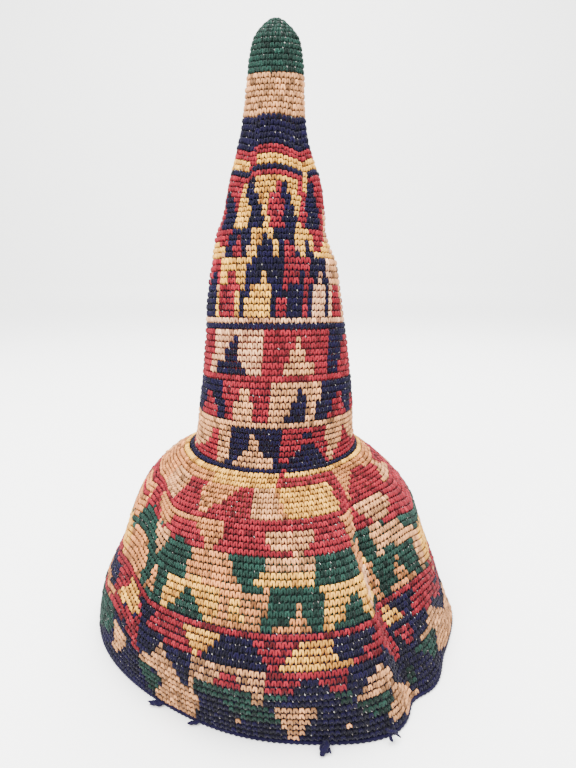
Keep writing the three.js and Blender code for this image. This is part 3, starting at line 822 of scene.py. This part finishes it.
# Share of the stitches with a bead of carried yarn beside them, by the yarn that they are worked in, and
# the places where it differs: yarn, top and bottom level, left and right azimuth, share
FLECK_SHARE = {NAVY: 0.26, RED: 0.13, GREEN: 0.20, SAND: 0.0, BLUSH: 0.0, GOLD: 0.0, CREAM: 0.0}
FLECK_ROUNDS = [(GREEN, 0, 36, -180, 180, 0.45), (NAVY, 72, 91, -180, 180, 0.15),
                (NAVY, 206, 216, -60, 20, 0.5), (RED, 351, 375, 12, 32, 0.45),
                (GREEN, 376, 396, 12, 32, 0.5), (NAVY, 421, 438, -22, 32, 0.6),
                (NAVY, 446, 461, -5, 32, 0.8), (NAVY, 461, 484, -60, 60, 0.35)]


def fleck_share(level, azimuth, yarns):
    """The share of stitches with a bead: that of their yarn, or of the last of FLECK_ROUNDS they are in."""
    twin = front_twin(azimuth)
    share = np.array([FLECK_SHARE[k] for k in range(len(YARNS))])[yarns]
    for kind, top, bottom, left, right, part in FLECK_ROUNDS:
        inside = (yarns == kind) & within(level, top, bottom) & within(twin, left, right)
        share = np.where(inside, part, share)
    return share


def add_stitches():
    """Every stitch of the hat, one piece for each yarn in each zone, and the beads of carried yarn."""
    rng = np.random.default_rng(STITCH_SEED)
    rows = stitch_places()
    yarns = yarn_at(rows[0], rows[2])
    total = 0
    for zone, top, bottom in ZONES:
        for yarn, yarn_name in enumerate(YARNS):
            chosen = within(rows[0], top, bottom) & (yarns == yarn)
            if chosen.any():
                name = f"stitches_{yarn_name}_{zone}"
                total += stitch_mesh(name, rows[:, chosen], ARCH, YARN_MATERIALS[yarn], rng)
    beads = rng.random(rows.shape[1]) < fleck_share(rows[0], rows[2], yarns)
    total += stitch_mesh("carried_yarn_beads", rows[:, beads], FLECK, BEAD_MATERIAL, rng, loose=2.0)
    print("stitches", rows.shape[1], "beads", beads.sum(), "triangles", total)


add_stitches()

# The fabric behind the stitches. Columns: the level from which a yarn is carried, and its colour, which
# shows in the gaps. Some colours are a carried yarn's own; the browns and dark reds are darkened copies of
# the yarns worked there, painted shade that makes the gaps read dark.
CARRIED_YARN_AND_GAP_SHADE = [(0, "173c33"), (46, "6a4326"), (72, "15112c"), (91, "3a1418"), (112, "15112c"), (214, "5a1c20"),
           (250, "2b1420"), (313, "6b4325"), (351, "4a1519"), (375, "16352d"), (417.5, "15112c")]
BACK_DEPTH = -1.9
INNER_RIDGE = 0.25
FABRIC_END = 483.4
WALL_COLUMNS = 96


def wall_surface():
    """The fabric's outer side BACK_DEPTH off the CAD's face, one row of points a round, and its inner side
    WALL inside that face, ridged once a round: levels and points of both, tip first."""
    edges = np.append(round_levels(), FABRIC_END)
    halves = np.sort(np.concatenate([edges, (edges[:-1] + edges[1:]) / 2]))
    azimuth = np.arange(WALL_COLUMNS) * 360 / WALL_COLUMNS - 180
    grid, turn = np.meshgrid(edges, azimuth, indexing="ij")
    outer = fabric_point(grid, turn, np.full_like(grid, BACK_DEPTH * MM))
    inner_grid, turn = np.meshgrid(halves, azimuth, indexing="ij")
    ridge = np.where(np.arange(len(halves)) % 2 == 0, 0.5, -0.5)[:, None] * INNER_RIDGE * MM
    inner = fabric_point(inner_grid, turn, np.broadcast_to(-WALL + ridge, inner_grid.shape))
    return grid, outer, inner_grid, inner


def carried_and_gap_shade_colour(level):
    """The colour behind the stitches at a level, from the table above: in some bands a carried yarn's, in
    others a darkened yarn colour painted as shade in the gaps.
    """
    starts = np.array([row[0] for row in CARRIED_YARN_AND_GAP_SHADE])
    colours = np.array([linear(row[1]) for row in CARRIED_YARN_AND_GAP_SHADE])
    return colours[np.clip(np.searchsorted(starts, level, side="right") - 1, 0, None)]


def add_wall():
    """The closed shell of fabric: both grids, a cap at the tip of each and a strip at the rim."""
    grid, outer, inner_grid, inner = wall_surface()
    rows, columns = grid.shape
    inner_rows = len(inner_grid)
    tip = outer_point(0.0, 0.0) + SHIFT
    tips = np.stack([tip + (0, 0, BACK_DEPTH * MM), tip - (0, 0, WALL * 1.1)])
    points = np.concatenate([outer.reshape(-1, 3), inner.reshape(-1, 3), tips])
    ring = np.arange(columns)
    after = (ring + 1) % columns
    start = rows * columns
    last, inner_last = start - columns, start + (inner_rows - 1) * columns
    top = start + inner_rows * columns
    rim = np.stack([last + ring, inner_last + ring, inner_last + after, last + after], axis=-1)
    cap = np.stack([np.full(columns, top), ring, after], axis=-1)
    inner_cap = np.stack([np.full(columns, top + 1), start + after, start + ring], axis=-1)
    quads = [tube_quads(rows, columns)[:, ::-1], tube_quads(inner_rows, columns) + start, rim]
    # The wall's colour by level, partly painted shade: darkened yarn colours that make the gaps read dark
    tint = carried_and_gap_shade_colour(np.concatenate([grid.ravel(), inner_grid.ravel(), np.zeros(2)]))
    faces = [np.concatenate(quads), np.concatenate([cap, inner_cap])]
    piece = new_mesh("fabric_wall", points, faces, BACK_MATERIAL, np.zeros(len(points)), tint)
    dress(piece, ["crochet_shell"])


add_wall()

# Rim and yarn ends

# The rim's rope: its radius, its middle's height and its depth inside the CAD's face in millimetres, how
# much wider than tall it is, and its loops
RIM_RADIUS = 1.5
RIM_HEIGHT = 1.4
RIM_INSET = 1.7
RIM_STRETCH = 1.05
RIM_LOOPS = 260
LOOP_STEPS = 4
RIM_SIDES = 8
RIM_SEED = 5
RIM_SPREAD = 0.1


def add_rim():
    """The rolled edge: a rope round the rim whose radius is RIM_RADIUS times one plus a fifth of the cosine
    of twice the turn plus one more turn each loop, pressed flat where the hat stands."""
    steps = RIM_LOOPS * LOOP_STEPS
    sides = RIM_SIDES
    azimuth = np.arange(steps) * 360 / steps - 180
    drop = np.full(steps, HAT_HEIGHT - RIM_HEIGHT * MM)
    middle = outer_point(drop, azimuth) + SHIFT
    out = outward(drop, azimuth)
    out[:, 2] = 0
    out = unit(out)
    middle = middle - out * RIM_INSET * MM
    turn = np.arange(sides) * 2 * np.pi / sides
    twist = turn[None] * 2 + np.arange(steps)[:, None] * 2 * np.pi / LOOP_STEPS
    radius = RIM_RADIUS * MM * (1 + np.cos(twist) / 5)
    sideways = np.cos(turn)[None, :, None] * out[:, None] * RIM_STRETCH
    upright = np.sin(turn)[None, :, None] * np.array([0, 0, 1.0])
    points = middle[:, None] + (sideways + upright) * radius[..., None]
    points[..., 2] = np.maximum(points[..., 2], 0.0)
    ring, side = np.meshgrid(np.arange(steps), np.arange(sides), indexing="ij")
    start, after, beside = ring * sides, (ring + 1) % steps * sides, (side + 1) % sides
    quads = np.stack([start + side, after + side, after + beside, start + beside], axis=-1)
    rng = np.random.default_rng(RIM_SEED)
    shade = np.repeat(rng.normal(0, RIM_SPREAD, steps), sides)
    faces = [quads.reshape(-1, 4)]
    piece = new_mesh("rolled_rim", points.reshape(-1, 3), faces, YARN_MATERIALS[NAVY], shade)
    dress(piece, ["crochet_shell"])


add_rim()

# Twisted yarn: how far the plies bulge, their pitch and a rounded end's length, as shares of its thickness
PATH_STEPS = 10
YARN_SIDES = 12
PLY_BULGE = 0.2
PLY_PITCH = 1.1
END_ROUND = 0.45
# Where a yarn end lies, in millimetres: off the hem's rolled edge, and above the ground
HEM_CLEARANCE = 1.1
END_LIFT = 0.2


def smooth_path(points, count):
    """A Catmull-Rom curve through the points, count points for each stretch."""
    p = np.asarray(points, float)
    p = np.vstack([2 * p[0] - p[1], p, 2 * p[-1] - p[-2]])
    s = np.linspace(0, 1, count, endpoint=False)[:, None]
    parts = []
    for i in range(1, len(p) - 2):
        a, b, c, d = p[i - 1], p[i], p[i + 1], p[i + 2]
        straight = 2 * b + (c - a) * s
        bend = (2 * a - 5 * b + 4 * c - d) * s ** 2
        swing = (3 * b - a - 3 * c + d) * s ** 3
        parts.append(0.5 * (straight + bend + swing))
    return np.vstack(parts + [p[-2][None]])


def twisted_yarn(points, thickness, frayed=0.0):
    """Points and faces of a two-ply yarn along a path: the radius is half the thickness times one plus
    PLY_BULGE of the cosine of twice the turn less the twist, over its most, round at the ends and thinner
    towards a frayed one."""
    path = smooth_path(points, PATH_STEPS)
    tangent = unit(np.gradient(path, axis=0))
    side = unit(np.cross(tangent, (0.13, 0.21, 0.97)))
    up = np.cross(side, tangent)
    sides = YARN_SIDES
    length = lengths_along(path)
    turn = np.arange(sides) * 2 * np.pi / sides
    twist = 2 * turn[None] - length[:, None] / (thickness * PLY_PITCH) * 2 * np.pi
    ends = np.sqrt(np.clip(np.minimum(length, length[-1] - length) / (thickness * END_ROUND), 0.02, 1))
    taper = 1 - frayed * (length / length[-1]) ** 2
    radius = thickness / 2 * (1 + PLY_BULGE * np.cos(twist)) / (1 + PLY_BULGE) * (ends * taper)[:, None]
    ring = np.cos(turn)[:, None] * up[:, None] + np.sin(turn)[:, None] * side[:, None]
    points = path[:, None] + ring * radius[..., None]
    caps = np.stack([np.arange(sides)[::-1], np.arange(sides) + (len(path) - 1) * sides])
    return points.reshape(-1, 3), tube_quads(len(path), sides), caps


def beside_hem(azimuth):
    """A function that gives a place beside the rim: out from the hem, along it and up, in yarn widths."""
    foot = outer_point(HAT_HEIGHT, azimuth) + SHIFT
    out = outward(np.array(HAT_HEIGHT), np.array(float(azimuth)))
    out = unit(out * (1, 1, 0))
    along = np.array([-out[1], out[0], 0])
    foot = foot + out * HEM_CLEARANCE * MM

    def place(outwards, sideways, up):
        point = foot + out * outwards * YARN + along * sideways * YARN
        return np.array([point[0], point[1], END_LIFT * MM + YARN / 2 + up * YARN])

    return place


# Yarn ends: azimuth, then the strands, each with its thickness as a share of YARN, how frayed it is, and
# its path in yarn widths out from the hem, along it and up.
YARN_ENDS = {
    "hem_yarn_end_left": (-34, [
        (1.25, 0.2, [(-0.9, 1.5, 0.6), (0.3, 0.8, 0.35), (0.8, -0.2, 0.3), (1.3, -1.6, 0.1)]),
        (0.7, 0.5, [(0.1, 0.6, 0.8), (0.8, -0.5, 0.7), (1.2, -1.3, 0.5), (1.4, -2.1, 0.3)]),
        (0.5, 0.6, [(0.2, 0.4, 0.5), (1.1, -0.4, 0.2), (1.7, -1.2, 0.0)]),
    ]),
    "hem_yarn_end_mid_left": (-21, [
        (1.0, 0.2, [(-0.9, 1.2, 0.5), (0.2, 0.6, 0.3), (0.7, -0.2, 0.25), (1.1, -1.2, 0.0)]),
    ]),
    "hem_yarn_knot": (12, [
        (1.25, 0.0, [(-0.8, 0.6, 0.9), (0.1, 0.3, 0.9), (0.8, 0.6, 1.2), (1.6, 0.3, 1.0), (1.6, -0.5, 0.4),
                     (0.8, -0.5, 0.4), (0.9, 0.1, 0.6), (1.4, 0.5, 0.3), (1.9, -0.2, 0.2),
                     (2.6, -0.9, 0.0)]),
        (0.8, 0.5, [(1.0, 0.4, 0.7), (1.6, 1.0, 0.5), (2.2, 1.3, 0.1)]),
    ]),
    "hem_yarn_loop": (27, [
        (0.75, 0.0, [(-1.1, -0.7, 1.7), (-0.3, -0.5, 1.8), (0.5, -0.7, 2.3), (1.0, 0.1, 2.4),
                     (0.9, 0.9, 1.7), (0.3, 0.5, 1.3), (0.5, -0.2, 1.4), (1.0, -0.6, 1.0),
                     (1.3, -0.3, 0.2)]),
        (0.7, 0.6, [(0.1, 0.2, 1.4), (0.7, 0.9, 1.2), (1.0, 1.5, 0.7), (1.1, 1.9, 0.2)]),
    ]),
}


def add_yarn_end(name, azimuth, strands):
    """Joins the strands of one yarn end into a piece in place of its CAD node."""
    place = beside_hem(azimuth)
    points, quads, caps = [], [], []
    start = 0
    for thickness, frayed, path in strands:
        p, q, c = twisted_yarn([place(*row) for row in path], thickness * YARN, frayed)
        p[:, 2] = np.maximum(p[:, 2], GROUND_GAP * MM)
        points.append(p)
        quads.append(q + start)
        caps.append(c + start)
        start += len(p)
    points = np.vstack(points)
    faces = [np.vstack(quads), np.vstack(caps)]
    piece = new_mesh(name + "_twisted", points, faces, YARN_MATERIALS[NAVY], np.zeros(len(points)))
    dress(piece, [name])


for end_name, (end_azimuth, end_strands) in YARN_ENDS.items():
    add_yarn_end(end_name, end_azimuth, end_strands)

# Floor and light

PAPER = "fbfbfa"
FLOOR_SIDES = 96
FLOOR_RINGS = [0.5, 2.0]
FLOOR_REACH = 6.0
FLOOR_BEND = 1.5
BACKDROP_HEIGHT = 3.4


def plain_surface(name, code, roughness):
    """Matte paper in one pale colour."""
    material = bpy.data.materials.new(name)
    material.use_nodes = True
    tree = material.node_tree
    tree.nodes.clear()
    shader = add_node(tree, "ShaderNodeBsdfPrincipled", Roughness=roughness, Specular_IOR_Level=0.2,
                      Base_Color=linear(code))
    add_node(tree, "ShaderNodeOutputMaterial", {"Surface": shader.outputs[0]})
    return material


def add_floor():
    """A pale floor disc that the hat stands on, with a round backdrop. From the middle the profile runs
    flat to the backdrop's foot, then round a quarter of a circle and straight up."""
    bend = np.linspace(0, np.pi / 2, 9)
    reach = np.concatenate([FLOOR_RINGS, FLOOR_REACH - FLOOR_BEND * (1 - np.sin(bend)), [FLOOR_REACH]])
    rise = np.concatenate([[0, 0], FLOOR_BEND * (1 - np.cos(bend)), [BACKDROP_HEIGHT]])
    turn = np.arange(FLOOR_SIDES) * 2 * np.pi / FLOOR_SIDES
    x, y = reach[:, None] * np.cos(turn), reach[:, None] * np.sin(turn)
    points = np.stack([x, y, rise[:, None] + 0 * turn], axis=-1)
    faces = [tube_quads(len(reach), len(turn))[:, ::-1], np.arange(len(turn))[None]]
    paper = plain_surface("matte_white_paper", PAPER, 0.9)
    new_mesh("floor", points.reshape(-1, 3), faces, paper)


add_floor()


def add_light(name, place, aim, width, power):
    """A square area light that faces a point."""
    data = bpy.data.lights.new(name, "AREA")
    data.shape = "SQUARE"
    data.size = width
    data.energy = power
    light = bpy.data.objects.new(name, data)
    light.location = place
    direction = np.array(aim, float) - np.array(place, float)
    light.rotation_euler = (
        math.atan2(math.hypot(direction[0], direction[1]), -direction[2]),
        0,
        math.atan2(-direction[0], direction[1]),
    )
    bpy.context.collection.objects.link(light)


# Columns: name, place, the point it faces, width and power in watts
LIGHTS = [
    ("key_softbox", (-0.7, -1.1, 1.5), (0, 0, 0.15), 0.9, 66.0),
    ("fill_softbox", (1.2, -0.9, 0.9), (0, 0, 0.2), 1.2, 10.0),
    ("top_softbox", (0.0, 0.2, 2.4), (0, 0.2, 0), 2.0, 165.0),
    ("backdrop_softbox", (0, 3.0, 2.9), (0, 6.0, 1.3), 2.0, 230.0),
    ("back_softbox", (0.1, 1.3, 1.3), (0, 0, 0.25), 1.0, 30.0),
]
WORLD_STRENGTH = 2.1

for row in LIGHTS:
    add_light(*row)

world = bpy.data.worlds.new("studio")
world.use_nodes = True
world.node_tree.nodes["Background"].inputs["Color"].default_value = (1, 1, 1, 1)
world.node_tree.nodes["Background"].inputs["Strength"].default_value = WORLD_STRENGTH
bpy.context.scene.world = world
